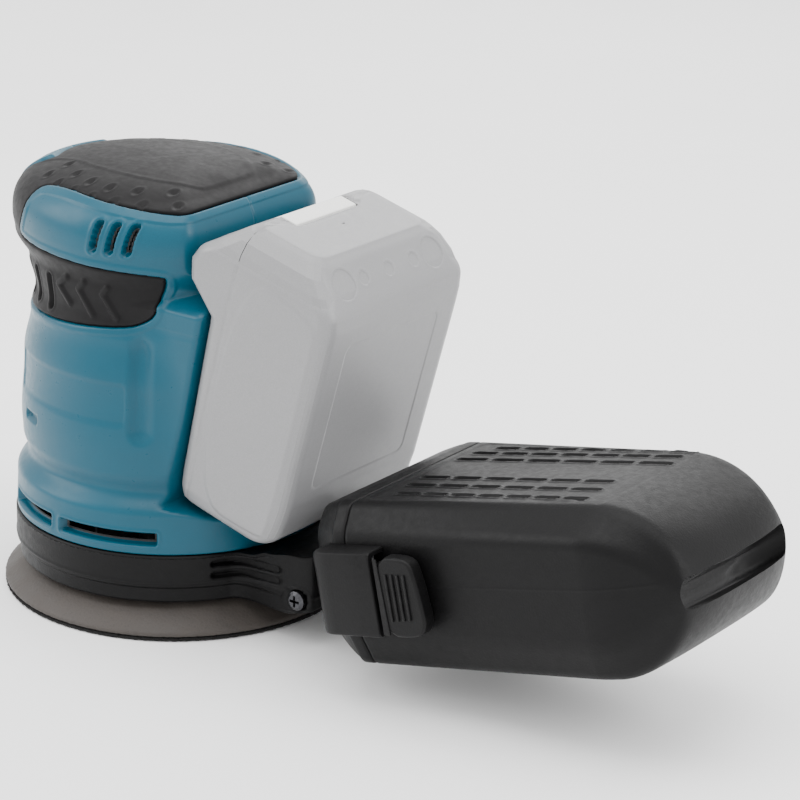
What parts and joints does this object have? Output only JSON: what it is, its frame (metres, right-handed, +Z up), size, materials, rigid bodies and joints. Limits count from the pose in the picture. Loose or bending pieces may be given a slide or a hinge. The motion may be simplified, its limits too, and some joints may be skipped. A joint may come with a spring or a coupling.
{
  "type": "orbital sander",
  "caption": "Cordless random orbital sander: barrel body with soft top grip, round hook-face pad on an eccentric drive, slide-on battery and a pull-off rear dust box.",
  "frame": {"origin": "where the motor axis meets the sanding face of the pad", "axes": "+Z up along the motor axis, +X to the back of the tool (battery and dust box), -Y the left side"},
  "size_m": [0.2897, 0.123, 0.1519],
  "materials": {
    "teal": "satin moulded",
    "rubber": "soft matt",
    "black_plastic": "fine grain",
    "pack_grey": "satin",
    "button_white": "satin",
    "foam": "closed-cell foam",
    "hook": "hook fabric",
    "steel": "turned",
    "dark_steel": "blackened",
    "copper": "wound copper",
    "carbon": "pressed carbon",
    "board_green": "solder mask",
    "cell_blue": "shrink sleeve",
    "cast": "cast",
    "fan_nylon": "moulded"
  },
  "bodies": {
    "tool": {"housing_left": "teal", "housing_right": "teal", "grip_left": "rubber", "grip_right": "rubber", "housing_screw_1": "dark_steel", "housing_screw_2": "dark_steel", "housing_screw_3": "dark_steel", "housing_screw_4": "dark_steel", "button_panel": "black_plastic", "switch_board": "board_green", "control_board": "board_green", "dust_shroud": "black_plastic", "shroud_screw_left": "dark_steel", "shroud_screw_right": "dark_steel", "brake_ring": "rubber", "motor_can": "dark_steel", "motor_end_cap": "black_plastic", "bearing_bracket": "cast", "lower_bearing": "steel", "upper_bearing": "steel", "brush_left": "carbon", "brush_right": "carbon", "battery_tray": "black_plastic", "terminal_block": "black_plastic"},
    "rotor": {"motor_shaft": "steel", "armature": "copper", "commutator": "copper", "fan": "fan_nylon", "counterweight": "cast"},
    "pad": {"pad_bearing": "steel", "pad_spindle": "steel", "pad_bolt": "dark_steel", "pad_plate": "black_plastic", "pad_foam": "foam", "hook_face": "hook"},
    "battery": {"pack_case": "pack_grey", "pack_cover": "pack_grey", "pack_board": "board_green", "cell_01": "cell_blue", "cell_02": "cell_blue", "cell_03": "cell_blue", "cell_04": "cell_blue", "cell_05": "cell_blue", "cell_06": "cell_blue", "cell_07": "cell_blue", "cell_08": "cell_blue", "cell_09": "cell_blue", "cell_10": "cell_blue"},
    "release_button": {"latch_button": "button_white"},
    "power_key": {"power_button": "rubber"},
    "speed_key": {"speed_button": "rubber"},
    "nozzle": {"dust_nozzle": "black_plastic", "sleeve_left": "black_plastic", "sleeve_right": "black_plastic"},
    "dust_box": {"dust_box": "black_plastic", "dust_filter": "hook", "latch_pin_left": "steel", "latch_pin_right": "steel"},
    "tab_left": {"latch_tab_left": "black_plastic"},
    "tab_right": {"latch_tab_right": "black_plastic"}
  },
  "joints": [
    {"name": "rotor_spin", "type": "hinge", "parent": "tool", "child": "rotor", "pos_m": [0, 0, 0.06], "axis": [0, 0, 1], "continuous": true},
    {"name": "pad_orbit", "type": "hinge", "parent": "rotor", "child": "pad", "pos_m": [0.0014, 0, 0.02], "axis": [0, 0, 1], "continuous": true},
    {"name": "battery_slide", "type": "slide", "parent": "tool", "child": "battery", "axis": [0.2639, 0, 0.9646], "range_m": [0, 0.11]},
    {"name": "release_press", "type": "slide", "parent": "battery", "child": "release_button", "axis": [-0.2639, 0, -0.9646], "range_m": [0, 0.0024], "stiffness_N_per_m": 1500, "springref_m": -0.001},
    {"name": "power_press", "type": "slide", "parent": "tool", "child": "power_key", "axis": [1, 0, 0], "range_m": [0, 0.0012], "stiffness_N_per_m": 1500, "springref_m": -0.001},
    {"name": "speed_press", "type": "slide", "parent": "tool", "child": "speed_key", "axis": [1, 0, 0], "range_m": [0, 0.0012], "stiffness_N_per_m": 1500, "springref_m": -0.001},
    {"name": "nozzle_pull", "type": "slide", "parent": "tool", "child": "nozzle", "axis": [0.9763, 0, 0.2164], "range_m": [0, 0.04]},
    {"name": "box_pull", "type": "slide", "parent": "nozzle", "child": "dust_box", "axis": [0.9763, 0, 0.2164], "range_m": [0, 0.06]},
    {"name": "tab_left_press", "type": "hinge", "parent": "dust_box", "child": "tab_left", "pos_m": [0.12224, -0.0452, 0.04041], "axis": [-0.2164, 0, 0.9763], "range_deg": [0, 4], "stiffness_Nm_per_rad": 0.6, "springref_deg": -2.01},
    {"name": "tab_right_press", "type": "hinge", "parent": "dust_box", "child": "tab_right", "pos_m": [0.12224, 0.0452, 0.04041], "axis": [-0.2164, 0, 0.9763], "range_deg": [-4, 0], "stiffness_Nm_per_rad": 0.6, "springref_deg": 2.01}
  ]
}
